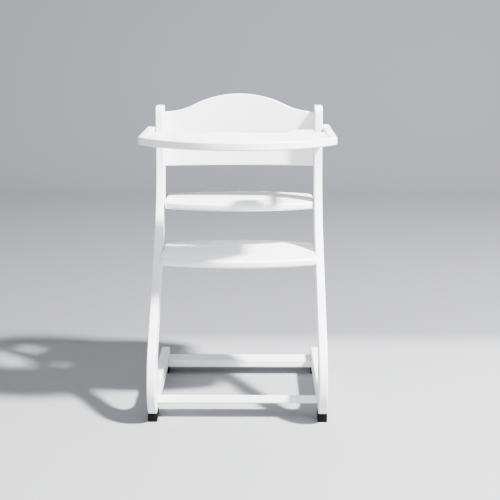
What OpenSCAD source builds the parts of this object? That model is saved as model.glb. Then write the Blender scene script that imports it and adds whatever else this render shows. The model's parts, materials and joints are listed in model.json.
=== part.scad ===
// Wooden high chair: two bent side frames joined by two crossbars, a curved backrest, a seat
// and a footrest, with a tray that swings up and over the back on two pivot bolts.
// Frame: X to the right of the chair, +Y to its back, +Z up, origin on the floor under the middle.
// Every "station" below is a distance behind the foremost point of the side frames.

/* [Side frames] */
// Outer width across the two side frames
frame_w = 450; // [380:1:560]
// Height of the uprights
frame_h = 770; // [640:1:930]
// Thickness of the side frame boards
board_t = 21; // [16:0.5:28]
// Width of the upright, square to its edges
upright_d = 60; // [45:1:75]
// Station of the upright's front edge at the top
top_station = 362; // [300:1:430]
// Length of the upright part at the top
top_straight = 125; // [90:1:160]
// Front edge radius of the upper bend
upper_r = 320; // [240:5:390]
// Front edge radius of the lower bend
lower_r = 141; // [110:1:170]
// Height of the foremost point
nose_h = 92; // [85:1:110]
// Radius from the foremost point down to the toe
toe_r = 85; // [75:1:105]
// Length of the floor rail from the foremost point
rail_len = 499; // [480:1:600]
// Height of the floor rail
rail_h = 48; // [42:1:58]
// Fillet between the rail and the upright
crotch_r = 60; // [40:1:75]
// Rounding of the upright's front top corner
top_front_r = 18; // [10:1:24]
// Rounding of the upright's rear top corner
top_rear_r = 8; // [4:1:12]

/* [Feet] */
// Height of the rubber feet
foot_h = 22; // [16:1:28]
// Width of the rubber feet
foot_w = 24; // [18:0.5:32]
// Length of the rubber feet
foot_l = 50; // [36:1:62]
// Station of the front feet
front_foot_at = 36; // [34:1:44]
// Gap from the rear feet to the rail's end
rear_foot_inset = 22; // [16:1:30]

/* [Crossbars] */
// Depth of the front crossbar
front_bar_d = 58; // [46:1:66]
// Station of the front crossbar's front edge
front_bar_at = 61; // [55:1:75]
// Height of the front crossbar's front edge above the feet
front_bar_lift = 20; // [16:1:28]
// Tilt of the front crossbar
front_bar_tilt = 20; // [0:1:24]
// Depth of the rear crossbar
rear_bar_d = 63; // [50:1:72]
// Gap from the rear crossbar to the rail's end
rear_bar_inset = 17; // [12:1:24]
// Thickness of both crossbars
bar_t = 20; // [16:0.5:22]

/* [Seat and footrest] */
// Thickness of the seat and the footrest
plate_t = 20; // [16:0.5:24]
// Distance from the uprights' tops down to the seat's top face
seat_drop = 256; // [220:1:290]
// How far the seat's front edge leads the uprights
seat_lead = 30; // [10:1:40]
// Depth of the seat
seat_d = 232; // [200:1:280]
// Distance from the seat down to the footrest's top face
footrest_drop = 120; // [90:1:170]
// How far the footrest's front edge leads the uprights
footrest_lead = 98; // [80:1:110]
// Depth of the footrest
footrest_d = 288; // [250:1:340]
// How far the front edges bow out
front_bow = 40; // [20:1:50]
// How far the rear edges bow out
rear_bow = 48; // [20:1:58]
// Rounding of the plates' corners
corner_r = 24; // [12:1:30]

/* [Backrest] */
// Thickness of the backrest
back_t = 18; // [15:0.5:22]
// Distance from the uprights' tops down to the backrest's bottom edge
back_drop = 165; // [145:1:200]
// Distance from the uprights' tops down to its top edge at the sides
back_side_drop = 18; // [8:1:34]
// How far the middle of its top edge rises above the sides
back_rise = 48; // [30:1:70]
// Radius of the top edge's middle
crown_r = 280; // [200:5:320]
// Set-back of the backrest from the uprights' front edge
back_inset = 36; // [30:1:38]
// Depth of the backrest's hollow
back_hollow = 14; // [5:1:25]

/* [Tray] */
// Distance from the uprights' tops down to the tray's top face
tray_drop = 55; // [45:1:65]
// Thickness of the tray
tray_t = 20; // [16:0.5:24]
// Reach of the tray's front edge ahead of the pivots
tray_reach = 430; // [400:1:470]
// How far the front edge bows out
tray_bow = 134; // [90:1:150]
// Width of the arms
arm_w = 20; // [17:0.5:26]
// Gap between the arms and the side frames
arm_gap = 2; // [1.5:0.1:3]
// Width of the slits beside the arms
slit_w = 4; // [3:0.1:4]
// Reach of the slits' front ends ahead of the pivots
slit_reach = 311; // [240:1:315]
// Distance from the pivots to the board's rear edge in front of the uprights
notch_reach = 180; // [160:1:200]
// Distance from the pivots to the ears' rear ends
ear_reach = 121; // [112:1:150]
// Gap between the ears and the side frames
ear_gap = 6; // [3:0.5:10]
// Width of the ears at their rear ends
ear_w = 54; // [40:1:70]
// Distance from the pivots to the recess in front of the child
recess_reach = 197; // [185:1:230]
// Slope of the recess's sides, measured across
recess_slope = 18; // [8:1:30]

/* [Tray pivots] */
// Gap from the pivot to the upright's rear edge
pivot_inset = 15; // [13:0.5:20]
// Length of the arms behind the pivot
arm_tail = 30; // [20:1:31]
// Radius of the pivot shoulder
pivot_r = 4; // [3:0.1:5]
// Running clearance round the pivot
pivot_gap = 0.05; // [0.02:0.01:0.1]
// Distance of the stop pegs ahead of the pivots
peg_ahead = 34; // [33:0.5:38]
// Radius of the stop pegs
peg_r = 4; // [3:0.1:5]

/* [Fixings] */
// Radius of the bolts' shanks
bolt_r = 3; // [2.5:0.1:4]
// Length of the bolts inside the boards they hold
bolt_reach = 42; // [36:1:50]
// Distance of the barrel nuts from the boards' ends
nut_reach = 32; // [26:1:34]
// Radius of the barrel nuts
nut_r = 5; // [4.5:0.1:6]
// Length of the barrel nuts
nut_l = 13; // [11:0.5:14]
// Distance between the two bolts at each end of a plate
plate_pitch = 24; // [18:1:28]
// Distance between the two bolts at each end of a crossbar
bar_pitch = 28; // [22:1:34]

/* [Hidden] */

$fn = 48;
paint = "white";
steel = "silver";
steps = 20;              // points along each drawn arc
over = 1;                // overrun of a cut past a face
thread_gap = 0.05;       // between a thread and its nut
hole_gap = 0.3;          // round a bolt in wood
head_r = 7;              // bolt heads
head_h = 4;
head_gap = 0.4;          // round a bolt head in its recess
head_sink = 0.3;         // bolt head below the face
socket_w = 4;            // hexagon across its flats
socket_deep = 2.5;
blind_wall = 0.5;        // room past the closed end of a barrel nut
front_wall = 2;          // wood in front of the backrest's barrel nuts
nut_slot_w = 1.2;        // screwdriver slot in a barrel nut
screw_r = 2;             // foot screws
screw_head_r = 4;
screw_head_h = 3;
screw_sink = 6;          // foot screw head above the floor
screw_grip = 18;         // foot screw's length inside the rail
cross_w = 0.8;           // cross slot in a foot screw
cross_deep = 1;
nut_slot_deep = 1;
washer_r = 9;
washer_play = 0.4;       // between a pivot washer and the arm
insert_r = 5;
insert_l = 13;
pilot_deep = 4;          // pilot hole past the insert
tray_head_gap = 0.2;     // under a pivot bolt's head
peg_in = 12;             // stop peg's length inside the upright
peg_past = 2;            // stop peg's end past the middle of the arm
rest_gap = 0.3;          // between the tray at rest and its stop pegs
arm_end_r = 7;           // rounding of the arms' ends
small_r = 4;             // rounding of the tray's small corners
back_bolt_low = 30;      // lower backrest bolt above the bottom edge
back_bolt_high = 17;     // upper backrest bolt below the side's top edge

half_w = frame_w / 2;
inner_x = half_w - board_t;
rail_top = foot_h + rail_h;
straight_z = frame_h - top_straight;

// The straight part of the upright is the line that touches both bends. The bends shrink
// together where a low chair leaves no room for them.
bend_fit = min(1, 0.9 * (straight_z - nose_h) / (upper_r + lower_r));
r_up = upper_r * bend_fit;
r_low = lower_r * bend_fit;
up_c = [top_station - r_up, straight_z];
low_c = [r_low, nose_h];
span = up_c - low_c;
lean = atan2(span[1], span[0]) - asin((r_up + r_low) / norm(span));
square_out = [sin(lean), -cos(lean)];    // unit vector from the front edge to the rear edge

function on(c, r, a) = [c[0] + r * cos(a), c[1] + r * sin(a)];
function arc(c, r, a0, a1) = [for (i = [0:steps]) on(c, r, a0 + (a1 - a0) * i / steps)];
function flipped(points) =
    [for (i = [len(points) - 1:-1:0]) [-points[i][0], points[i][1]]];
function sagitta_r(half, bow) = (half * half + bow * bow) / (2 * bow);

// Station of an upright's edge at height z, for an edge "out" behind the front one.
function edge_at(z, out) =
    let (r = r_up + out, touch = on(up_c, r, lean - 90))
    z >= straight_z ? top_station + out
    : z >= touch[1] ? up_c[0] + sqrt(r * r - pow(straight_z - z, 2))
    : touch[0] - (touch[1] - z) / tan(lean);

// Heights and stations that follow from the frame
seat_z = frame_h - seat_drop;
footrest_z = seat_z - footrest_drop;
seat_mid_z = seat_z - plate_t / 2;
footrest_mid_z = footrest_z - plate_t / 2;
seat_at = round(edge_at(seat_mid_z, 0) - seat_lead);
footrest_at = round(edge_at(footrest_mid_z, 0) - footrest_lead);
back_low = frame_h - back_drop;
back_side = frame_h - back_side_drop;
back_top = back_side + back_rise;
tray_z = frame_h - tray_drop;
front_bar_z = foot_h + front_bar_lift;

// Tray: stations ahead of the pivots, and the arms either side of the uprights
pivot_s = top_station + upright_d - pivot_inset;
pivot_z = tray_z - tray_t / 2;
tray_at = pivot_s - tray_reach;
arm_in = half_w + arm_gap;
arm_out = arm_in + arm_w;
tray_front_r = sagitta_r(arm_out, tray_bow);

// Whole chair centred on Y: the tray leads in front and the seat or the rails trail behind.
mid = (min(tray_at, 0) + max(seat_at + seat_d, rail_len)) / 2;

// Fillet in the corner between the rail's top and the upright's rear edge.
crotch_z = rail_top + crotch_r;
crotch_c = [(on(up_c, r_up + upright_d, lean - 90) * square_out + crotch_r
             + crotch_z * cos(lean)) / sin(lean), crotch_z];

// Bolt places as [station, height]
bar_s = front_bar_d / 2;
front_bar_bolts = [for (k = [-1, 1]) let (u = bar_s + k * bar_pitch / 2)
    [front_bar_at + u * cos(front_bar_tilt) + bar_t / 2 * sin(front_bar_tilt),
     front_bar_z - u * sin(front_bar_tilt) + bar_t / 2 * cos(front_bar_tilt)]];
rear_bar_at = rail_len - rear_bar_inset - rear_bar_d;
rear_bar_bolts = [for (k = [-1, 1])
    [rear_bar_at + rear_bar_d / 2 + k * bar_pitch / 2, foot_h + bar_t / 2]];
back_at = top_station + back_inset;
back_r = sagitta_r(inner_x, back_hollow);
back_c = back_at + back_hollow - back_r;
function back_face(x) = back_c + sqrt(back_r * back_r - x * x);
back_bolt_at = back_face(inner_x - nut_reach) + front_wall + blind_wall + nut_l / 2;
back_bolts = [[back_bolt_at, back_low + back_bolt_low], [back_bolt_at, back_side - back_bolt_high]];

// Where a plate's side runs straight: the corner circle's centre, front and rear
front_r = sagitta_r(inner_x, front_bow);
rear_r = sagitta_r(inner_x, rear_bow);
function corner_in(r) = r - sqrt(pow(r - corner_r, 2) - pow(inner_x - corner_r, 2));
function plate_bolts(at, z) =
    let (low = max(edge_at(z, 0), at + corner_in(front_r)), high = edge_at(z, upright_d))
    [for (k = [-1, 1]) [(low + high) / 2 + k * plate_pitch / 2, z]];
seat_bolt_places = plate_bolts(seat_at, seat_mid_z);
footrest_bolt_places = plate_bolts(footrest_at, footrest_mid_z);

peg_at = [pivot_s - peg_ahead, tray_z - tray_t - rest_gap - peg_r];
peg_out = (arm_out + arm_in) / 2 + peg_past;
front_foot_mid = front_foot_at + foot_l / 2;
rear_foot_mid = rail_len - rear_foot_inset - foot_l / 2;

// ---- placing ----
module both() { for (m = [0, 1]) mirror([m, 0, 0]) children(); }
module left() { mirror([1, 0, 0]) children(); }
module at(p, x = 0) { translate([x, p[0] - mid, p[1]]) children(); }
module along_x(h, r) { rotate([0, 90, 0]) cylinder(h = h, r = r); }

// ---- side frames ----
module side_outline() {
    heel_c = [rail_len - rail_h, foot_h];
    toe_c = [toe_r, nose_h];
    polygon(concat(
        arc(heel_c, rail_h, 0, 90),
        arc(crotch_c, crotch_r, 270, 90 + lean),
        arc(up_c, r_up + upright_d, lean - 90, 0),
        arc([top_station + upright_d - top_rear_r, frame_h - top_rear_r], top_rear_r, 0, 90),
        arc([top_station + top_front_r, frame_h - top_front_r], top_front_r, 90, 180),
        arc(up_c, r_up, 0, lean - 90),
        arc(low_c, r_low, 90 + lean, 180),
        arc(toe_c, toe_r, 180, 180 + asin((nose_h - foot_h) / toe_r))
    ));
}
module bolt_way(places) {
    for (p = places) {
        at(p, inner_x - over) along_x(board_t + 2 * over, bolt_r + hole_gap);
        at(p, half_w - head_h - head_sink) along_x(head_h + over, head_r + head_gap);
    }
}
module right_frame() {
    difference() {
        translate([inner_x, -mid, 0]) rotate([90, 0, 90]) linear_extrude(board_t) side_outline();
        bolt_way(concat(front_bar_bolts, rear_bar_bolts, back_bolts,
                        seat_bolt_places, footrest_bolt_places));
        at([pivot_s, pivot_z], half_w - insert_l) along_x(insert_l + over, insert_r + thread_gap);
        at([pivot_s, pivot_z], half_w - insert_l - pilot_deep) along_x(insert_l, bolt_r + hole_gap);
        at(peg_at, half_w - peg_in) along_x(peg_in + over, peg_r + thread_gap);
        for (s = [front_foot_mid, rear_foot_mid])
            translate([half_w - board_t / 2, s - mid, foot_h - over])
                cylinder(h = screw_grip + 2 * over, r = screw_r + thread_gap);
    }
}

// ---- feet ----
module right_foot(s) {
    translate([half_w - board_t / 2, s - mid, 0]) difference() {
        translate([-foot_w / 2, -foot_l / 2, 0]) cube([foot_w, foot_l, foot_h]);
        translate([0, 0, -over]) cylinder(h = foot_h + 2 * over, r = screw_r + hole_gap);
        translate([0, 0, -over])
            cylinder(h = screw_sink + screw_head_h + over, r = screw_head_r + head_gap);
    }
}
module foot_screw() {
    translate([0, 0, screw_sink]) difference() {
        union() {
            cylinder(h = screw_head_h, r = screw_head_r);
            cylinder(h = foot_h - screw_sink + screw_grip, r = screw_r);
        }
        for (a = [0, 90]) rotate(a) translate([-screw_r, -cross_w / 2, -over])
            cube([2 * screw_r, cross_w, over + cross_deep]);
    }
}

// ---- bolts and barrel nuts ----
module bolt() {
    translate([half_w - head_sink - head_h, 0, 0]) difference() {
        union() {
            along_x(head_h, head_r);
            translate([inner_x - bolt_reach - half_w + head_sink + head_h, 0, 0])
                along_x(bolt_reach + board_t - head_sink - head_h, bolt_r);
        }
        translate([head_h - socket_deep, 0, 0]) rotate([0, 90, 0])
            cylinder(h = socket_deep + over, d = socket_w / cos(30), $fn = 6);
    }
}
module barrel_nut(turn) {
    translate([inner_x - nut_reach, 0, 0]) rotate([turn, 0, 0]) difference() {
        translate([0, 0, -nut_l / 2]) cylinder(h = nut_l, r = nut_r);
        translate([-nut_r - over, 0, 0]) along_x(2 * (nut_r + over), bolt_r + thread_gap);
        translate([-nut_r - over, -nut_slot_w / 2, -nut_l / 2 - over])
            cube([2 * (nut_r + over), nut_slot_w, nut_slot_deep + over]);
    }
}
module bolts(places) { color(steel) both() for (p = places) at(p) bolt(); }
module barrel_nuts(places, turn) { color(steel) both() for (p = places) at(p) barrel_nut(turn); }

// Holes for the bolts and barrel nuts in a board; "open" is from the bolt to the open face.
module end_holes(places, turn, open) {
    both() for (p = places) {
        at(p, inner_x - bolt_reach - over) along_x(bolt_reach + 2 * over, bolt_r + hole_gap);
        at(p, inner_x - nut_reach) rotate([turn, 0, 0]) translate([0, 0, -open - over])
            cylinder(h = open + over + nut_l / 2 + blind_wall, r = nut_r + thread_gap * 2);
    }
}

// ---- crossbars ----
module crossbar(depth) { translate([-inner_x, 0, 0]) cube([2 * inner_x, depth, bar_t]); }

// ---- plates ----
module plate_outline(at, depth) {
    fc = [0, at + front_r];
    rc = [0, at + depth - rear_r];
    fcorner = [inner_x - corner_r, at + corner_in(front_r)];
    rcorner = [inner_x - corner_r, at + depth - corner_in(rear_r)];
    fa = atan2(fcorner[1] - fc[1], fcorner[0]);
    ra = atan2(rcorner[1] - rc[1], rcorner[0]);
    right = concat(arc(fc, front_r, -90, fa), arc(fcorner, corner_r, fa, 0),
                   arc(rcorner, corner_r, 0, ra), arc(rc, rear_r, ra, 90));
    polygon(concat(right, flipped(right)));
}
module plate(at, depth, top, places) {
    color(paint) difference() {
        translate([0, -mid, top - plate_t]) linear_extrude(plate_t) plate_outline(at, depth);
        end_holes(places, 0, plate_t / 2);
    }
}

// ---- backrest ----
// Two arcs that meet at a tangent make the top edge: a crown and a hollow either side of it.
module back_outline() {
    rise = back_top - back_side;
    swing = 2 * atan(rise / inner_x);
    hollow_r = inner_x / sin(swing) - crown_r;
    right = concat([[inner_x, back_low]],
                   arc([inner_x, back_side + hollow_r], hollow_r, 270, 270 - swing),
                   arc([0, back_top - crown_r], crown_r, 90 - swing, 90));
    polygon(concat(right, flipped(right)));
}
module back_plan() {
    c = [0, back_c];
    turn = asin(inner_x / back_r);
    outer = back_r + back_t;
    turn_out = asin(inner_x / outer);
    polygon(concat(arc(c, back_r, 90 - turn, 90 + turn), arc(c, outer, 90 + turn_out, 90 - turn_out)));
}

// ---- tray ----
module tray_outline() {
    front_c = [0, tray_at + tray_front_r];
    end_at = pivot_s + arm_tail;
    slit_in = arm_in - slit_w;
    ear_out = inner_x - ear_gap;
    slit_at = pivot_s - slit_reach;
    notch_at = pivot_s - notch_reach;
    ear_at = pivot_s - ear_reach;
    right = concat(
        arc(front_c, tray_front_r, -90, asin(arm_out / tray_front_r) - 90),
        arc([arm_out - arm_end_r, end_at - arm_end_r], arm_end_r, 0, 90),
        arc([arm_in + arm_end_r, end_at - arm_end_r], arm_end_r, 90, 180),
        arc([arm_in - slit_w / 2, slit_at + slit_w / 2], slit_w / 2, 0, -180),
        arc([slit_in - small_r, notch_at - small_r], small_r, 0, 90),
        arc([ear_out + small_r, notch_at + small_r], small_r, 270, 180),
        arc([ear_out - small_r, ear_at - small_r], small_r, 0, 90),
        [[ear_out - ear_w, ear_at], [ear_out - ear_w - recess_slope, pivot_s - recess_reach]]
    );
    polygon(concat(right, flipped(right)));
}
module pivot_bolt() {
    head_x = arm_out - head_sink - head_h;
    difference() {
        union() {
            translate([head_x, 0, 0]) along_x(head_h, head_r);
            translate([half_w, 0, 0]) along_x(head_x - half_w, pivot_r);
            translate([half_w - insert_l, 0, 0]) along_x(insert_l, bolt_r);
        }
        translate([arm_out - head_sink - socket_deep, 0, 0]) rotate([0, 90, 0])
            cylinder(h = socket_deep + over, d = socket_w / cos(30), $fn = 6);
    }
}
module ring(x, length, outer, inner) {
    translate([x, 0, 0]) difference() {
        along_x(length, outer);
        translate([-over, 0, 0]) along_x(length + 2 * over, inner);
    }
}
module pivot_place() { at([pivot_s, pivot_z]) children(); }
module pivot_washer() { ring(half_w, arm_gap - washer_play, washer_r, pivot_r + thread_gap); }
module pivot_insert() { ring(half_w - insert_l, insert_l, insert_r, bolt_r + thread_gap); }
module stop_peg() { at(peg_at, half_w - peg_in) along_x(peg_in + peg_out - half_w, peg_r); }

// ---- one module for each node ----
module left_side_frame() { color(paint) left() right_frame(); }
module right_side_frame() { color(paint) right_frame(); }
module front_crossbar() {
    color(paint) difference() {
        at([front_bar_at, front_bar_z]) rotate([-front_bar_tilt, 0, 0]) crossbar(front_bar_d);
        end_holes(front_bar_bolts, -front_bar_tilt, bar_t / 2);
    }
}
module rear_crossbar() {
    color(paint) difference() {
        at([rear_bar_at, foot_h]) crossbar(rear_bar_d);
        end_holes(rear_bar_bolts, 0, bar_t / 2);
    }
}
module backrest() {
    color(paint) difference() {
        intersection() {
            translate([0, 2 * back_at - mid, 0]) rotate([90, 0, 0])
                linear_extrude(2 * back_at) back_outline();
            translate([0, -mid, back_low - over])
                linear_extrude(back_top - back_low + 2 * over) back_plan();
        }
        end_holes(back_bolts, 90, back_t);
    }
}
module seat_plate() { plate(seat_at, seat_d, seat_z, seat_bolt_places); }
module footrest_plate() { plate(footrest_at, footrest_d, footrest_z, footrest_bolt_places); }
module tray_board() {
    color(paint) difference() {
        translate([0, -mid, tray_z - tray_t]) linear_extrude(tray_t) tray_outline();
        both() pivot_place() {
            translate([arm_in - over, 0, 0]) along_x(arm_out - arm_in + 2 * over, pivot_r + pivot_gap);
            translate([arm_out - head_sink - head_h - tray_head_gap, 0, 0])
                along_x(head_h + over, head_r + head_gap);
        }
    }
}
module front_left_foot() { color("black") left() right_foot(front_foot_mid); }
module front_right_foot() { color("black") right_foot(front_foot_mid); }
module rear_left_foot() { color("black") left() right_foot(rear_foot_mid); }
module rear_right_foot() { color("black") right_foot(rear_foot_mid); }
module foot_screws() {
    color(steel) both() for (s = [front_foot_mid, rear_foot_mid])
        translate([half_w - board_t / 2, s - mid, 0]) foot_screw();
}
module front_crossbar_bolts() { bolts(front_bar_bolts); }
module front_crossbar_barrel_nuts() { barrel_nuts(front_bar_bolts, -front_bar_tilt); }
module rear_crossbar_bolts() { bolts(rear_bar_bolts); }
module rear_crossbar_barrel_nuts() { barrel_nuts(rear_bar_bolts, 0); }
module backrest_bolts() { bolts(back_bolts); }
module backrest_barrel_nuts() { barrel_nuts(back_bolts, 90); }
module seat_bolts() { bolts(seat_bolt_places); }
module seat_barrel_nuts() { barrel_nuts(seat_bolt_places, 0); }
module footrest_bolts() { bolts(footrest_bolt_places); }
module footrest_barrel_nuts() { barrel_nuts(footrest_bolt_places, 0); }
module left_tray_pivot_bolt() { color(steel) left() pivot_place() pivot_bolt(); }
module right_tray_pivot_bolt() { color(steel) pivot_place() pivot_bolt(); }
module left_pivot_washer() { color(steel) left() pivot_place() pivot_washer(); }
module right_pivot_washer() { color(steel) pivot_place() pivot_washer(); }
module left_pivot_insert() { color(steel) left() pivot_place() pivot_insert(); }
module right_pivot_insert() { color(steel) pivot_place() pivot_insert(); }
module left_tray_stop_peg() { color(paint) left() stop_peg(); }
module right_tray_stop_peg() { color(paint) stop_peg(); }

left_side_frame();
right_side_frame();
front_crossbar();
rear_crossbar();
backrest();
seat_plate();
footrest_plate();
tray_board();
front_left_foot();
front_right_foot();
rear_left_foot();
rear_right_foot();
foot_screws();
front_crossbar_bolts();
front_crossbar_barrel_nuts();
rear_crossbar_bolts();
rear_crossbar_barrel_nuts();
backrest_bolts();
backrest_barrel_nuts();
seat_bolts();
seat_barrel_nuts();
footrest_bolts();
footrest_barrel_nuts();
left_tray_pivot_bolt();
right_tray_pivot_bolt();
left_pivot_washer();
right_pivot_washer();
left_pivot_insert();
right_pivot_insert();
left_tray_stop_peg();
right_tray_stop_peg();
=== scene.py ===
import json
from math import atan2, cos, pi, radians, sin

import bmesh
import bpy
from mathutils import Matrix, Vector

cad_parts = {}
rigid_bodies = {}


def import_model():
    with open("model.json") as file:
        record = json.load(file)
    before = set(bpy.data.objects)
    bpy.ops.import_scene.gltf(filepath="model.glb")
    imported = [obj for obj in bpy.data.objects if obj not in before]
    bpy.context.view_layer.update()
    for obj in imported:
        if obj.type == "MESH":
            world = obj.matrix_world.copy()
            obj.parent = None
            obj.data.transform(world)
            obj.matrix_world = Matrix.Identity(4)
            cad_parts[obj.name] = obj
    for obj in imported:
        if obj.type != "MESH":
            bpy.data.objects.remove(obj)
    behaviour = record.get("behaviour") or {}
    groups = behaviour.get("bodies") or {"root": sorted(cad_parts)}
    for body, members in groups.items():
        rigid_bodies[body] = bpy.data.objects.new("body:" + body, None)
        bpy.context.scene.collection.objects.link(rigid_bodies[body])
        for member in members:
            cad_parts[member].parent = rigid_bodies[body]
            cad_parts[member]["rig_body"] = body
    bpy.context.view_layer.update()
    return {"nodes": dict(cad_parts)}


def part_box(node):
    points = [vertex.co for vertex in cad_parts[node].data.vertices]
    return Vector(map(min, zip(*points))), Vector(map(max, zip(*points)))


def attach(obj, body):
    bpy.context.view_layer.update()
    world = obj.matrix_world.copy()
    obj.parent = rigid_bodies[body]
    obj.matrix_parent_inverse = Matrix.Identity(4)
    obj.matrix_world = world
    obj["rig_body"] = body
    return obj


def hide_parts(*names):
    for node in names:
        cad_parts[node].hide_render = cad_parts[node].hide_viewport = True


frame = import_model()

# %% [markdown]
# # A painted wooden high chair
# This lesson dresses a finished CAD model: two bent side frames, a backrest, a seat, a footrest and a
# tray that swings over the back. The CAD model, which is already loaded, fixes every size and every
# moving body. Each cell adds one piece or one finish on top of it, in metres, with +Z up and the front of
# the chair towards -Y.

nodes = frame["nodes"]

# %% [markdown]
# ## One way to add a node
# Shader trees and geometry trees are both made of nodes. A single helper adds any node: it sets the
# node's settings first, because they can change which sockets exist, and then fills the sockets with
# values or with links.

# %% The node helper
def add(tree, kind, settings=None, inputs=None):
    """Adds a node to a tree, with its settings first and then its sockets' values or links."""
    node = tree.nodes.new(kind)
    for name, value in (settings or {}).items():
        setattr(node, name, value)
    for socket, value in (inputs or {}).items():
        value = getattr(value, "socket", value)
        if isinstance(value, bpy.types.NodeSocket):
            tree.links.new(value, node.inputs[socket])
        else:
            node.inputs[socket].default_value = value
    return node


# %% [markdown]
# ## Shader maths as Python
# A shader expression such as `0.4 + 0.1 * grain` would take two Math nodes and three links by hand. This
# small class wraps a socket, so that the expression itself adds those nodes. Colours stay out of it,
# because a Math node turns a colour grey.

# %% A socket that takes part in sums
class Amount:
    """A socket that holds one number and can stand in a sum, in a shader or a geometry tree."""

    def __init__(self, tree, socket):
        self.tree, self.socket = tree, socket

    def math(self, operation, first, second):
        node = add(self.tree, "ShaderNodeMath", {"operation": operation}, {0: first, 1: second})
        return Amount(self.tree, node.outputs[0])

    def __add__(self, other):
        return self.math("ADD", self, other)

    def __sub__(self, other):
        return self.math("SUBTRACT", self, other)

    def __rsub__(self, other):
        return self.math("SUBTRACT", other, self)

    def __mul__(self, other):
        return self.math("MULTIPLY", self, other)

    def below(self, limit):
        """1 where the number is below a limit, and 0 elsewhere."""
        return self.math("LESS_THAN", self, limit)

    def root(self):
        return self.math("SQRT", self, 0.0)

    def size(self):
        return self.math("ABSOLUTE", self, 0.0)

    __radd__, __rmul__ = __add__, __mul__


# %% [markdown]
# ## Finishes
# Each finish is a Principled shader with a few procedural layers. They read Object coordinates, so a
# pattern keeps its real scale on every piece and stays put when the piece moves. Constant values sit on
# the shader's own sockets.

# %% A finish to build on
class Finish:
    """A material with one Principled shader, and short ways to the layers that feed it."""

    def __init__(self, name, **constants):
        self.material = bpy.data.materials.new(name)
        self.material.use_nodes = True
        self.tree = self.material.node_tree
        self.shader = self.tree.nodes["Principled BSDF"]
        self.place = add(self.tree, "ShaderNodeTexCoord").outputs["Object"]
        for socket, value in constants.items():
            self.shader.inputs[socket.replace("_", " ")].default_value = value

    def noise(self, scale, detail=2.0, stretch=None):
        """Noise of a scale in cycles a metre, stretched along an axis if "stretch" gives three factors."""
        place = self.place
        if stretch:
            place = add(self.tree, "ShaderNodeMapping", None, {"Vector": place, "Scale": stretch}).outputs[0]
        node = add(self.tree, "ShaderNodeTexNoise", None, {"Vector": place, "Scale": scale, "Detail": detail})
        return Amount(self.tree, node.outputs[0])

    def ramp(self, amount, low, high):
        """0 below "low" and 1 above "high", with a soft step between them."""
        node = add(self.tree, "ShaderNodeMapRange", {"interpolation_type": "SMOOTHSTEP"},
                   {"Value": amount, "From Min": low, "From Max": high})
        return Amount(self.tree, node.outputs[0])

    def colour(self, factor, first, second):
        """A colour between two others."""
        return add(self.tree, "ShaderNodeMix", {"data_type": "RGBA"},
                   {"Factor": factor, 6: first, 7: second}).outputs[2]

    def feed(self, **layers):
        """Links layers to the shader's sockets."""
        for socket, layer in layers.items():
            self.tree.links.new(getattr(layer, "socket", layer), self.shader.inputs[socket.replace("_", " ")])

    def bump(self, height, depth):
        """Relief of a depth in metres."""
        node = add(self.tree, "ShaderNodeBump", None, {"Height": height, "Distance": depth, "Strength": 1.0})
        self.feed(Normal=node.outputs[0])


# %% [markdown]
# ## White satin paint on wood
# The boards are sprayed white. Up close such paint shows three things: the wood's grain as a faint ripple
# along each board, the fine orange peel of the spray, and slightly thinner, duller paint along the
# rounded edges. The grain runs along the board, so the finish is made once for each direction that a
# board takes. An attribute called "edge" marks the roundings.

# %% The paint
WHITE = (0.86, 0.865, 0.875, 1.0)
THIN_WHITE = (0.70, 0.69, 0.665, 1.0)
GRAIN_ACROSS, GRAIN_ALONG = 1.0, 0.035
GRAIN_SCALE, PEEL_SCALE, DRIFT_SCALE, WEAR_SCALE = 240, 900, 7, 38
WEAR_FROM, WEAR_TO = 0.4, 0.75
PAINT_RELIEF = 0.00028


def paint(name, along):
    """White paint on a board whose grain runs along axis 0, 1 or 2."""
    finish = Finish(name, Specular_IOR_Level=0.45, Coat_Weight=0.12, Coat_Roughness=0.22)
    stretch = [GRAIN_ACROSS] * 3
    stretch[along] = GRAIN_ALONG
    grain = finish.noise(GRAIN_SCALE, 3.0, stretch)
    peel = finish.noise(PEEL_SCALE, 1.0)
    drift = finish.noise(DRIFT_SCALE)
    edge = add(finish.tree, "ShaderNodeAttribute", {"attribute_name": "edge"}).outputs["Fac"]
    patches = finish.ramp(finish.noise(WEAR_SCALE, 3.0), WEAR_FROM, WEAR_TO)
    worn = Amount(finish.tree, edge) * patches
    thin = 0.55 * worn + 0.08 * drift + 0.14 * grain
    finish.feed(Base_Color=finish.colour(thin, WHITE, THIN_WHITE),
                Roughness=0.30 + 0.10 * drift + 0.06 * grain + 0.16 * worn)
    finish.bump(0.75 * grain + 0.25 * peel, PAINT_RELIEF)
    return finish.material


paint_along_x = paint("white_paint_x", 0)
paint_along_z = paint("white_paint_z", 2)
print("paints:", paint_along_x.name, paint_along_z.name)

# %% [markdown]
# ## Rubber and zinc
# The feet are black moulded rubber, dull, with a grainy skin and a little dust where they rub. The screws
# and nuts are zinc plated: metallic, a little cloudy, and brighter where the plating is smooth.

# %% Black rubber
BLACK, DUSTY = (0.0012, 0.0012, 0.0013, 1.0), (0.006, 0.0058, 0.0055, 1.0)
SKIN_SCALE, DUST_SCALE, SKIN_RELIEF = 1400, 90, 0.0002
rubber_finish = Finish("black_rubber_skin", Specular_IOR_Level=0.12)
skin = rubber_finish.noise(SKIN_SCALE)
dust = rubber_finish.ramp(rubber_finish.noise(DUST_SCALE, 4.0), 0.45, 0.8)
rubber_finish.feed(Base_Color=rubber_finish.colour(dust, BLACK, DUSTY), Roughness=0.62 + 0.2 * dust)
rubber_finish.bump(skin, SKIN_RELIEF)
rubber = rubber_finish.material
print("made", rubber.name)

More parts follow.
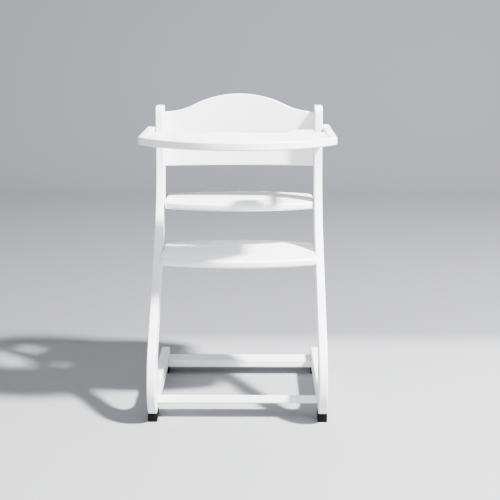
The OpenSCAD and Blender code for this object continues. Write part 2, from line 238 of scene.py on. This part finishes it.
# %% Zinc plate
BRIGHT_ZINC, CLOUDY_ZINC = (0.66, 0.67, 0.69, 1.0), (0.50, 0.51, 0.53, 1.0)
CLOUD_SCALE, SCUFF_SCALE, SCUFF_RELIEF = 160, 2200, 0.00003
zinc_finish = Finish("zinc_plate", Metallic=1.0)
cloud = zinc_finish.noise(CLOUD_SCALE, 3.0)
scuff = zinc_finish.noise(SCUFF_SCALE)
zinc_finish.feed(Base_Color=zinc_finish.colour(cloud, BRIGHT_ZINC, CLOUDY_ZINC),
                 Roughness=0.24 + 0.22 * cloud + 0.08 * scuff)
zinc_finish.bump(scuff, SCUFF_RELIEF)
zinc = zinc_finish.material
print("made", zinc.name)

# %% [markdown]
# ## Boards with rounded edges
# A real board's edges are eased with a router before it is painted, and that thin highlight is what makes
# it look like wood. The CAD boards are exact but sharp. A copy of each is made: its loose triangles are
# joined, its flat faces made whole again, and its long sharp edges bevelled. The bolt holes keep their
# crisp rims, so an edge is only bevelled if it belongs to a run of edges that is longer than any hole.

# %% A clean copy of a CAD board
FLAT_ANGLE, SHARP_ANGLE = radians(0.3), radians(35)
SAME_PLACE, LONGEST_HOLE = 0.00015, 0.02


def clean_copy(node):
    """The CAD node's shape as a bmesh, with its triangles joined and its flat faces made whole."""
    shape = bmesh.new()
    shape.from_mesh(nodes[node].data)
    bmesh.ops.remove_doubles(shape, verts=shape.verts, dist=SAME_PLACE)
    bmesh.ops.dissolve_limit(shape, angle_limit=FLAT_ANGLE, verts=shape.verts, edges=shape.edges)
    return shape


def long_sharp_edges(shape):
    """The convex sharp edges of a shape, without those round its holes."""
    sharp = {e for e in shape.edges
             if len(e.link_faces) == 2 and e.calc_face_angle() > SHARP_ANGLE}
    chosen = []
    while sharp:
        run, waiting = [], [sharp.pop()]
        while waiting:
            edge = waiting.pop()
            run.append(edge)
            near = {e for v in edge.verts for e in v.link_edges} & sharp
            sharp -= near
            waiting.extend(near)
        points = [v.co for e in run for v in e.verts]
        size = max(max(p[i] for p in points) - min(p[i] for p in points) for i in range(3))
        if size > LONGEST_HOLE:
            chosen += [e for e in run if e.is_convex]
    return chosen


# %% Rounding the edges
def into_scene(name, data):
    """Makes an object of some data and puts it in the scene."""
    thing = bpy.data.objects.new(name, data)
    bpy.context.scene.collection.objects.link(thing)
    return thing


def bevel(shape, radius, steps, clamp):
    """Rounds a shape's long sharp edges and returns the new faces."""
    made = bmesh.ops.bevel(shape, geom=long_sharp_edges(shape), offset=radius, segments=steps,
                           profile=0.5, affect="EDGES", clamp_overlap=clamp)
    return set(made["faces"])


def as_piece(name, shape, material):
    """Turns a bmesh into a smooth-shaded object whose flat faces stay flat."""
    mesh = bpy.data.meshes.new(name)
    shape.to_mesh(mesh)
    shape.free()
    mesh.materials.append(material)
    mesh.shade_smooth()
    mesh.set_sharp_from_angle(angle=SHARP_ANGLE)
    piece = into_scene(name, mesh)
    weigh = piece.modifiers.new("flat faces", "WEIGHTED_NORMAL")
    weigh.keep_sharp = True
    return piece


def round_edges(shape, radius, steps):
    """Bevels a board's long sharp edges and marks the roundings with the "edge" attribute.

    The bevel isn't clamped: with the clamp on, the side frames' roundings came out with no width.
    """
    rounding = bevel(shape, radius, steps, clamp=False)
    mark = shape.verts.layers.float.new("edge")
    for vertex in shape.verts:
        vertex[mark] = float(all(face in rounding for face in vertex.link_faces))
    return len(rounding)


BOARD_EDGE, WIDE_EDGE, PLATE_EDGE, FOOT_EDGE = 0.0025, 0.003, 0.0062, 0.002
EDGE_STEPS, PLATE_EDGE_STEPS = 3, 6


def painted_board(node, name, shape, material, radius=BOARD_EDGE, steps=EDGE_STEPS):
    """Makes the board that is seen in place of a CAD board."""
    rounding = round_edges(shape, radius, steps)
    piece = as_piece(name, shape, material)
    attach(piece, nodes[node]["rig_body"])
    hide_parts(node)
    print(name, "faces:", len(piece.data.polygons), "of them rounding:", rounding)


# %% [markdown]
# ## The boards, from the floor up
# The grain of the side frames is taken to run up the uprights, and that of every other board runs across
# the chair.

# %% Frames, crossbars and plates
for side in ("left", "right"):
    frame_node = side + "_side_frame"
    painted_board(frame_node, side + "_frame_board", clean_copy(frame_node), paint_along_z)
for place in ("front", "rear"):
    bar_node = place + "_crossbar"
    painted_board(bar_node, place + "_bar", clean_copy(bar_node), paint_along_x)
for plate in ("footrest", "seat"):
    plate_node = plate + "_plate"
    painted_board(plate_node, plate + "_board", clean_copy(plate_node), paint_along_x,
                  PLATE_EDGE, PLATE_EDGE_STEPS)

# %% Tray
painted_board("tray_board", "tray_top", clean_copy("tray_board"), paint_along_x, WIDE_EDGE)

# %% Rubber feet
for corner in ("front_left", "front_right", "rear_left", "rear_right"):
    foot_shape = clean_copy(corner + "_foot")
    bevel(foot_shape, FOOT_EDGE, EDGE_STEPS, clamp=True)
    foot = as_piece(corner + "_rubber_foot", foot_shape, rubber)
    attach(foot, "chair")
    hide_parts(corner + "_foot")
    print(foot.name, "faces:", len(foot.data.polygons))

# %% [markdown]
# ## Where the fixings are
# Bolts and barrel nuts repeat many times, so Geometry Nodes make them: one tree draws a single bolt and
# puts it on every point of a small point cloud. The points come from the CAD model. Each solid of a CAD
# node is one island of joined triangles, and the middle of its box gives the place.

# %% Finding each solid of a node
def solids(node):
    """The boxes of a node's separate solids, each as its lowest and highest corner."""
    shape = clean_copy(node)
    left, boxes = set(shape.verts), []
    while left:
        island, waiting = [], [left.pop()]
        while waiting:
            vertex = waiting.pop()
            island.append(vertex.co.copy())
            near = {e.other_vert(vertex) for e in vertex.link_edges} & left
            left -= near
            waiting.extend(near)
        low, high = [Vector([pick(p[i] for p in island) for i in range(3)]) for pick in (min, max)]
        boxes.append((low, high))
    shape.free()
    return boxes


def point_cloud(name, places):
    """A mesh of points with a "turn" on each; places holds (position, turn) pairs."""
    mesh = bpy.data.meshes.new(name)
    mesh.from_pydata([p for p, _ in places], [], [])
    turns = mesh.attributes.new("turn", "FLOAT_VECTOR", "POINT")
    for item, (_, turn) in zip(turns.data, places):
        item.vector = turn
    return into_scene(name, mesh)


# %% [markdown]
# ## A tree with named inputs
# A geometry tree's inputs are its group sockets. Setting them through the modifier takes each socket's
# identifier and not its name, so the helper keeps both together. The tree ends in Realize Instances and
# Set Material, and the result is turned into a plain mesh, because the finished model can't hold
# instances.

# %% Building and using such a tree
def new_tree(name, sizes):
    """A geometry tree with an input for each named size. Returns the tree, its points and its sizes."""
    tree = bpy.data.node_groups.new(name, "GeometryNodeTree")
    tree.interface.new_socket("Points", in_out="INPUT", socket_type="NodeSocketGeometry")
    for size in sizes:
        tree.interface.new_socket(size, in_out="INPUT", socket_type="NodeSocketFloat")
    tree.interface.new_socket("Geometry", in_out="OUTPUT", socket_type="NodeSocketGeometry")
    given = add(tree, "NodeGroupInput").outputs
    return tree, given["Points"], {size: Amount(tree, given[size]) for size in sizes}


def on_points(tree, points, one):
    """Puts a shape on every point, turned as the point says, as real geometry."""
    turn = add(tree, "GeometryNodeInputNamedAttribute", {"data_type": "FLOAT_VECTOR"},
               {"Name": "turn"})
    rotation = add(tree, "FunctionNodeEulerToRotation", None, {0: turn.outputs[0]})
    placed = add(tree, "GeometryNodeInstanceOnPoints", None,
                 {"Points": points, "Instance": one, "Rotation": rotation.outputs[0]})
    real = add(tree, "GeometryNodeRealizeInstances", None, {"Geometry": placed.outputs[0]})
    return real.outputs[0]


def end_tree(tree, geometry, material):
    """Gives the geometry its material and ends the tree."""
    painted = add(tree, "GeometryNodeSetMaterial", None, {"Geometry": geometry, "Material": material})
    add(tree, "NodeGroupOutput", None, {0: painted.outputs[0]})


def grow(cloud, tree, sizes):
    """Runs a tree on a point cloud and returns the result as a plain mesh."""
    modifier = cloud.modifiers.new("grow", "NODES")
    modifier.node_group = tree
    for item in tree.interface.items_tree:
        if item.name in sizes:
            modifier[item.identifier] = sizes[item.name]
    graph = bpy.context.evaluated_depsgraph_get()
    mesh = bpy.data.meshes.new_from_object(cloud.evaluated_get(graph))
    bpy.data.objects.remove(cloud)
    return mesh


STEEL_SHARP_ANGLE = radians(30)


def steel_piece(name, mesh, replaced):
    """Makes a zinc-plated piece of the chair from a grown mesh."""
    mesh.shade_smooth()
    mesh.set_sharp_from_angle(angle=STEEL_SHARP_ANGLE)
    piece = into_scene(name, mesh)
    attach(piece, "chair")
    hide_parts(*replaced)
    print(name, "faces:", len(mesh.polygons))


# %% [markdown]
# ## Bolts
# A furniture bolt has a flat head with a chamfered rim and a hexagon socket, and a shoulder that is
# thicker than its thread. The tray turns on two such shoulders. The head is a short cylinder with a cone
# on top as its chamfer, and the socket is cut with a Mesh Boolean node. That node is slow on big meshes,
# but here it works on one small bolt before the copies are made. The bolt points along +Z, with its
# head's face at the origin.

# %% The bolt tree
def moved(tree, geometry, **change):
    """The geometry after a Transform node, with its Translation or Rotation."""
    return add(tree, "GeometryNodeTransform", None, {"Geometry": geometry, **change}).outputs[0]


def upwards(tree, height):
    """A vector along Z."""
    return add(tree, "ShaderNodeCombineXYZ", None, {"Z": height}).outputs[0]


def boolean(tree, operation, parts, start=None):
    """Unites parts, or cuts them out of a start."""
    node = add(tree, "GeometryNodeMeshBoolean", {"operation": operation, "solver": "MANIFOLD"},
               None if start is None else {"Mesh 1": start})
    for part in parts:
        tree.links.new(part, node.inputs["Mesh 2"])
    return node.outputs[0]


ROUND, HEXAGON, SHANK_SIDES, BORE_SIDES = 32, 6, 24, 24


def cylinder(tree, radius, depth, top, vertices=ROUND):
    """A cylinder whose top face is at height "top"."""
    body = add(tree, "GeometryNodeMeshCylinder", None,
               {"Vertices": vertices, "Radius": radius, "Depth": depth}).outputs[0]
    return moved(tree, body, Translation=upwards(tree, top - depth * 0.5))


bolt_tree, points, size = new_tree("bolt", [
    "Head radius", "Head height", "Rim", "Shoulder radius", "Shoulder length", "Shank radius",
    "Length", "Socket radius", "Socket depth"])
sunk = size["Rim"] * -1.0
head = cylinder(bolt_tree, size["Head radius"], size["Head height"] - size["Rim"], sunk)
rim = add(bolt_tree, "GeometryNodeMeshCone", None,
          {"Vertices": ROUND, "Radius Top": size["Head radius"] - size["Rim"],
           "Radius Bottom": size["Head radius"], "Depth": size["Rim"]}).outputs[0]
rim = moved(bolt_tree, rim, Translation=upwards(bolt_tree, sunk))
shank = cylinder(bolt_tree, size["Shank radius"], size["Length"], sunk, SHANK_SIDES)
shoulder = cylinder(bolt_tree, size["Shoulder radius"], size["Shoulder length"], sunk)
whole = boolean(bolt_tree, "UNION", (head, rim, shank, shoulder))
SOCKET_PAST = 0.001
hexagon = cylinder(bolt_tree, size["Socket radius"], size["Socket depth"] + SOCKET_PAST,
                   SOCKET_PAST, HEXAGON)
cut = boolean(bolt_tree, "DIFFERENCE", (hexagon,), whole)
end_tree(bolt_tree, on_points(bolt_tree, points, cut), zinc)
print("bolt tree nodes:", len(bolt_tree.nodes))

# %% Bolts through the frames and the tray's arms
def outward(box):
    """The outer end of a solid that lies along X, and the turn that points +Z outwards there."""
    low, high = box
    side = 1 if low.x + high.x > 0 else -1
    middle = (low + high) / 2
    end = Vector((high.x if side > 0 else low.x, middle.y, middle.z))
    return end, (0, side * pi / 2, 0)


BOLT = {"Head radius": 0.007, "Head height": 0.004, "Rim": 0.0008, "Shank radius": 0.003,
        "Socket radius": 0.0023, "Socket depth": 0.0025}
BOARD_BOLTS = ["front_crossbar_bolts", "rear_crossbar_bolts", "footrest_bolts", "seat_bolts",
               "backrest_bolts"]
PIVOTS = ["left_tray_pivot_bolt", "right_tray_pivot_bolt"]
BOARD_SHOULDER, BOARD_SHOULDER_LENGTH, PIVOT_SHOULDER = 0.0032, 0.008, 0.004


def bolts(name, replaced, shoulder_radius, shoulder_length):
    """One piece with every bolt of some nodes; the shoulder's length follows from the bolt's."""
    boxes = [box for node in replaced for box in solids(node)]
    length = boxes[0][1].x - boxes[0][0].x
    mesh = grow(point_cloud(name + "_points", [outward(box) for box in boxes]), bolt_tree,
                {**BOLT, "Shoulder radius": shoulder_radius,
                 "Shoulder length": shoulder_length(length), "Length": length - BOLT["Rim"]})
    steel_piece(name, mesh, replaced)


insert_low, insert_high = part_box("right_pivot_insert")
insert_length = insert_high.x - insert_low.x
bolts("board_bolts", BOARD_BOLTS, BOARD_SHOULDER, lambda length: BOARD_SHOULDER_LENGTH)
bolts("tray_pivot_bolts", PIVOTS, PIVOT_SHOULDER, lambda length: length - insert_length - BOLT["Rim"])

# %% [markdown]
# ## Barrel nuts
# A barrel nut is a short steel rod across the bolt, with a threaded hole through its side and a slot in
# its end for turning it in line. The same kind of tree makes it, with the barrel along +Z and the slot in
# its lower end.

# %% The barrel nut tree
THROUGH = 0.02
nut_tree, points, size = new_tree("barrel nut",
                                  ["Radius", "Length", "Bore", "Slot width", "Slot depth"])
barrel = cylinder(nut_tree, size["Radius"], size["Length"], size["Length"] * 0.5)
bore = add(nut_tree, "GeometryNodeMeshCylinder", None,
           {"Vertices": BORE_SIDES, "Radius": size["Bore"], "Depth": THROUGH}).outputs[0]
bore = moved(nut_tree, bore, Rotation=(0, pi / 2, 0))
slot_size = add(nut_tree, "ShaderNodeCombineXYZ", None,
                {"X": THROUGH, "Y": size["Slot width"], "Z": size["Slot depth"] * 2.0}).outputs[0]
slot = add(nut_tree, "GeometryNodeMeshCube", None, {"Size": slot_size}).outputs[0]
slot = moved(nut_tree, slot, Translation=upwards(nut_tree, size["Length"] * -0.5))
nut = boolean(nut_tree, "DIFFERENCE", (bore, slot), barrel)
end_tree(nut_tree, on_points(nut_tree, points, nut), zinc)
print("barrel nut tree nodes:", len(nut_tree.nodes))

# %% Barrel nuts in the boards' ends
FRONT_BAR_TILT = radians(20)
NUT_TURNS = {"front_crossbar_barrel_nuts": -FRONT_BAR_TILT, "rear_crossbar_barrel_nuts": 0.0,
             "footrest_barrel_nuts": 0.0, "seat_barrel_nuts": 0.0, "backrest_barrel_nuts": pi / 2}
nut_places = {node: [((low + high) / 2, (turn, 0, 0)) for low, high in solids(node)]
              for node, turn in NUT_TURNS.items()}
barrel_nuts = grow(point_cloud("nut_points", sum(nut_places.values(), [])), nut_tree,
                   {"Radius": 0.005, "Length": 0.013, "Bore": 0.00305, "Slot width": 0.0012,
                    "Slot depth": 0.001})
steel_piece("barrel_nuts", barrel_nuts, list(NUT_TURNS))

# %% [markdown]
# ## The backrest: a board drawn by its rule
# The backrest is hollowed like a slice of a barrel, and its top edge is a wave: a round crown that runs
# into a dip at each side. Both follow a rule, so a geometry tree can draw the board from its sizes. A
# flat grid, one cell high and many cells wide, is bent: its points move to where two circles say. The
# faces are then extruded backwards, and the holes for the barrel nuts are cut where the nuts are. Numbers
# that don't change along the board are worked out in Python.

# %% The backrest tree
COLUMNS = 81
back_tree, points, size = new_tree("waved board", [
    "Half width", "Low", "Crown top", "Crown radius", "Crown half width", "Side top", "Dip radius",
    "Front", "Face radius", "Thickness", "Hole radius", "Hole depth", "Hole top"])
columns = add(back_tree, "GeometryNodeMeshGrid", None,
              {"Size X": 2.0 * size["Half width"], "Size Y": 1.0,
               "Vertices X": COLUMNS, "Vertices Y": 2})
position = add(back_tree, "GeometryNodeInputPosition")
parts = add(back_tree, "ShaderNodeSeparateXYZ", None, {0: position.outputs[0]})
across, up = Amount(back_tree, parts.outputs["X"]), Amount(back_tree, parts.outputs["Y"]) + 0.5
square = across * across
from_side = size["Half width"] - across.size()
crown_r, dip_r = size["Crown radius"], size["Dip radius"]
crown = size["Crown top"] - crown_r + (crown_r * crown_r - square).root()
dip = size["Side top"] + dip_r - (dip_r * dip_r - from_side * from_side).root()
in_crown = across.size().below(size["Crown half width"])
top = in_crown * crown + (1 - in_crown) * dip
face = (size["Face radius"] * size["Face radius"] - square).root()
rear_radius = size["Face radius"] + size["Thickness"]
rear = (rear_radius * rear_radius - square).root()
bent = add(back_tree, "ShaderNodeCombineXYZ", None,
           {"X": across, "Y": size["Front"] - size["Face radius"] + face,
            "Z": size["Low"] + up * (top - size["Low"])})
front = add(back_tree, "GeometryNodeSetPosition", None,
            {"Geometry": columns.outputs[0], "Position": bent.outputs[0]}).outputs[0]

# %% Its thickness and its holes
# The same circles give the way to the rear face, but they are read again on the bent grid, where X is
# unchanged.
SEAM_GAP = 0.00001
thick = add(back_tree, "ShaderNodeCombineXYZ", None, {"Y": rear - face})
turned = add(back_tree, "GeometryNodeFlipFaces", None, {"Mesh": front})
pushed = add(back_tree, "GeometryNodeExtrudeMesh", {"mode": "FACES"},
             {"Mesh": turned.outputs[0], "Offset": thick.outputs[0], "Offset Scale": 1.0,
              "Individual": False})
joined = add(back_tree, "GeometryNodeJoinGeometry", None, {"Geometry": front})
back_tree.links.new(pushed.outputs["Mesh"], joined.inputs[0])
closed = add(back_tree, "GeometryNodeMergeByDistance", None,
             {"Geometry": joined.outputs[0], "Distance": SEAM_GAP}).outputs[0]
drill = cylinder(back_tree, size["Hole radius"], size["Hole depth"], size["Hole top"])
drilled = boolean(back_tree, "DIFFERENCE", (on_points(back_tree, points, drill),), closed)
end_tree(back_tree, drilled, paint_along_x)
print("backrest tree nodes:", len(back_tree.nodes))

# %% The backrest
back_low, back_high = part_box("backrest")
SIDE_TOP, CROWN_RADIUS, HOLLOW, BACK_THICKNESS = 0.752, 0.280, 0.014, 0.018
half_width = back_high.x
swing = 2 * atan2(back_high.z - SIDE_TOP, half_width)
face_radius = (half_width ** 2 + HOLLOW ** 2) / (2 * HOLLOW)
back_mesh = grow(point_cloud("back_holes", nut_places["backrest_barrel_nuts"]), back_tree, {
    "Half width": half_width, "Low": back_low.z, "Crown top": back_high.z, "Crown radius": CROWN_RADIUS,
    "Crown half width": CROWN_RADIUS * sin(swing), "Side top": SIDE_TOP,
    "Dip radius": half_width / sin(swing) - CROWN_RADIUS, "Front": back_high.y - BACK_THICKNESS,
    "Face radius": face_radius, "Thickness": BACK_THICKNESS,
    "Hole radius": 0.0051, "Hole depth": 0.03, "Hole top": 0.007})
back_shape = bmesh.new()
back_shape.from_mesh(back_mesh)
painted_board("backrest", "back_board", back_shape, paint_along_x, WIDE_EDGE)

# %% [markdown]
# ## CAD pieces that stay
# The washers, inserts, foot screws and stop pegs are small and mostly hidden. They keep their CAD shape
# and only get a finish. The hidden nodes that other pieces stand for get one too, which does no harm.

# %% Finishes for the small pieces
for name, node in nodes.items():
    finish = paint_along_x if "peg" in name else zinc
    node.data.materials.clear()
    node.data.materials.append(finish)
print("nodes with a finish:", len(nodes))

# %% [markdown]
# ## Floor and backdrop
# A studio paper roll is both floor and backdrop: it runs back along the floor and curves up out of sight.
# One sheet is drawn as rows of points, flat, then a quarter circle, then straight up. The paper is a
# graduated one, pale under the chair and a deeper grey behind it, so that the white boards stand out.

# %% The paper roll
PAPER_HALF_WIDTH, PAPER_FRONT, PAPER_BEND, PAPER_TOP, BEND_R = 9.0, -9.0, 3.4, 7.0, 1.6
BEND_STEPS = 30
bend = [radians(90 / BEND_STEPS * k) for k in range(1, BEND_STEPS + 1)]
rows = [(PAPER_FRONT, 0.0), (PAPER_BEND, 0.0)]
rows += [(PAPER_BEND + BEND_R * sin(a), BEND_R - BEND_R * cos(a)) for a in bend]
rows.append((PAPER_BEND + BEND_R, PAPER_TOP))
paper_mesh = bpy.data.meshes.new("paper")
corners = [(x, y, z) for y, z in rows for x in (-PAPER_HALF_WIDTH, PAPER_HALF_WIDTH)]
strips = [(2 * i, 2 * i + 1, 2 * i + 3, 2 * i + 2) for i in range(len(rows) - 1)]
paper_mesh.from_pydata(corners, [], strips)
paper_mesh.shade_smooth()
paper_finish = Finish("grey_paper", Specular_IOR_Level=0.2, Roughness=0.8)
PALE_GREY, DEEP_GREY = (0.285, 0.287, 0.297, 1.0), (0.155, 0.156, 0.168, 1.0)
FADE_FROM, FADE_TO, MOTTLE_SCALE = 0.42, 0.62, 1.2
behind = add(paper_finish.tree, "ShaderNodeSeparateXYZ", None, {0: paper_finish.place}).outputs["Y"]
fade = paper_finish.ramp(behind, FADE_FROM, FADE_TO)
mottle = paper_finish.noise(MOTTLE_SCALE, 1.0)
paper_finish.feed(Base_Color=paper_finish.colour(0.96 * fade + 0.04 * mottle, PALE_GREY, DEEP_GREY))
paper_mesh.materials.append(paper_finish.material)
into_scene("paper_roll", paper_mesh)
print("paper strips:", len(strips))

# %% [markdown]
# ## Light
# A small, strong key light stands to the right, high and a little in front, so the tops of the boards are
# the brightest faces and each board's right side is lit. A weaker, larger fill from the left keeps the
# shaded faces open, and the world adds an even, slightly blue white.

# %% Lights
def area_light(name, place, target, size, power):
    """A square area light that faces a target."""
    data = bpy.data.lights.new(name, "AREA")
    data.size, data.energy = size, power
    light = into_scene(name, data)
    light.location = place
    light.rotation_euler = (Vector(target) - Vector(place)).to_track_quat("-Z", "Y").to_euler()


CHAIR_MIDDLE = (0, 0, 0.4)
SKY, SKY_STRENGTH = (0.93, 0.95, 1.0, 1.0), 0.95
area_light("key", (2.6, -1.35, 3.9), CHAIR_MIDDLE, 0.4, 2100)
area_light("fill", (-1.6, -4.2, 2.2), CHAIR_MIDDLE, 2.4, 70)
world = bpy.data.worlds.new("studio")
world.use_nodes = True
background = world.node_tree.nodes["Background"]
background.inputs["Color"].default_value = SKY
background.inputs["Strength"].default_value = SKY_STRENGTH
bpy.context.scene.world = world
print("lights:", len(bpy.data.lights))

# %% [markdown]
# ## Camera
# The camera stands a few centimetres right of the middle, a little above the chair, and looks slightly
# down, with a long lens so that the chair's sides stay nearly parallel.

# %% The camera
LENS, SENSOR, SHIFT_UP = 80.9, 36.0, -0.05
LOOK_DOWN, LOOK_LEFT = 10.6, 0.35
camera_data = bpy.data.cameras.new("camera")
camera_data.lens, camera_data.sensor_width, camera_data.shift_y = LENS, SENSOR, SHIFT_UP
camera = into_scene("camera", camera_data)
camera.location = (0.048, -2.916, 1.012)
camera.rotation_euler = (radians(90 - LOOK_DOWN), 0, radians(LOOK_LEFT))
bpy.context.scene.camera = camera
print("lens, in millimetres:", LENS)
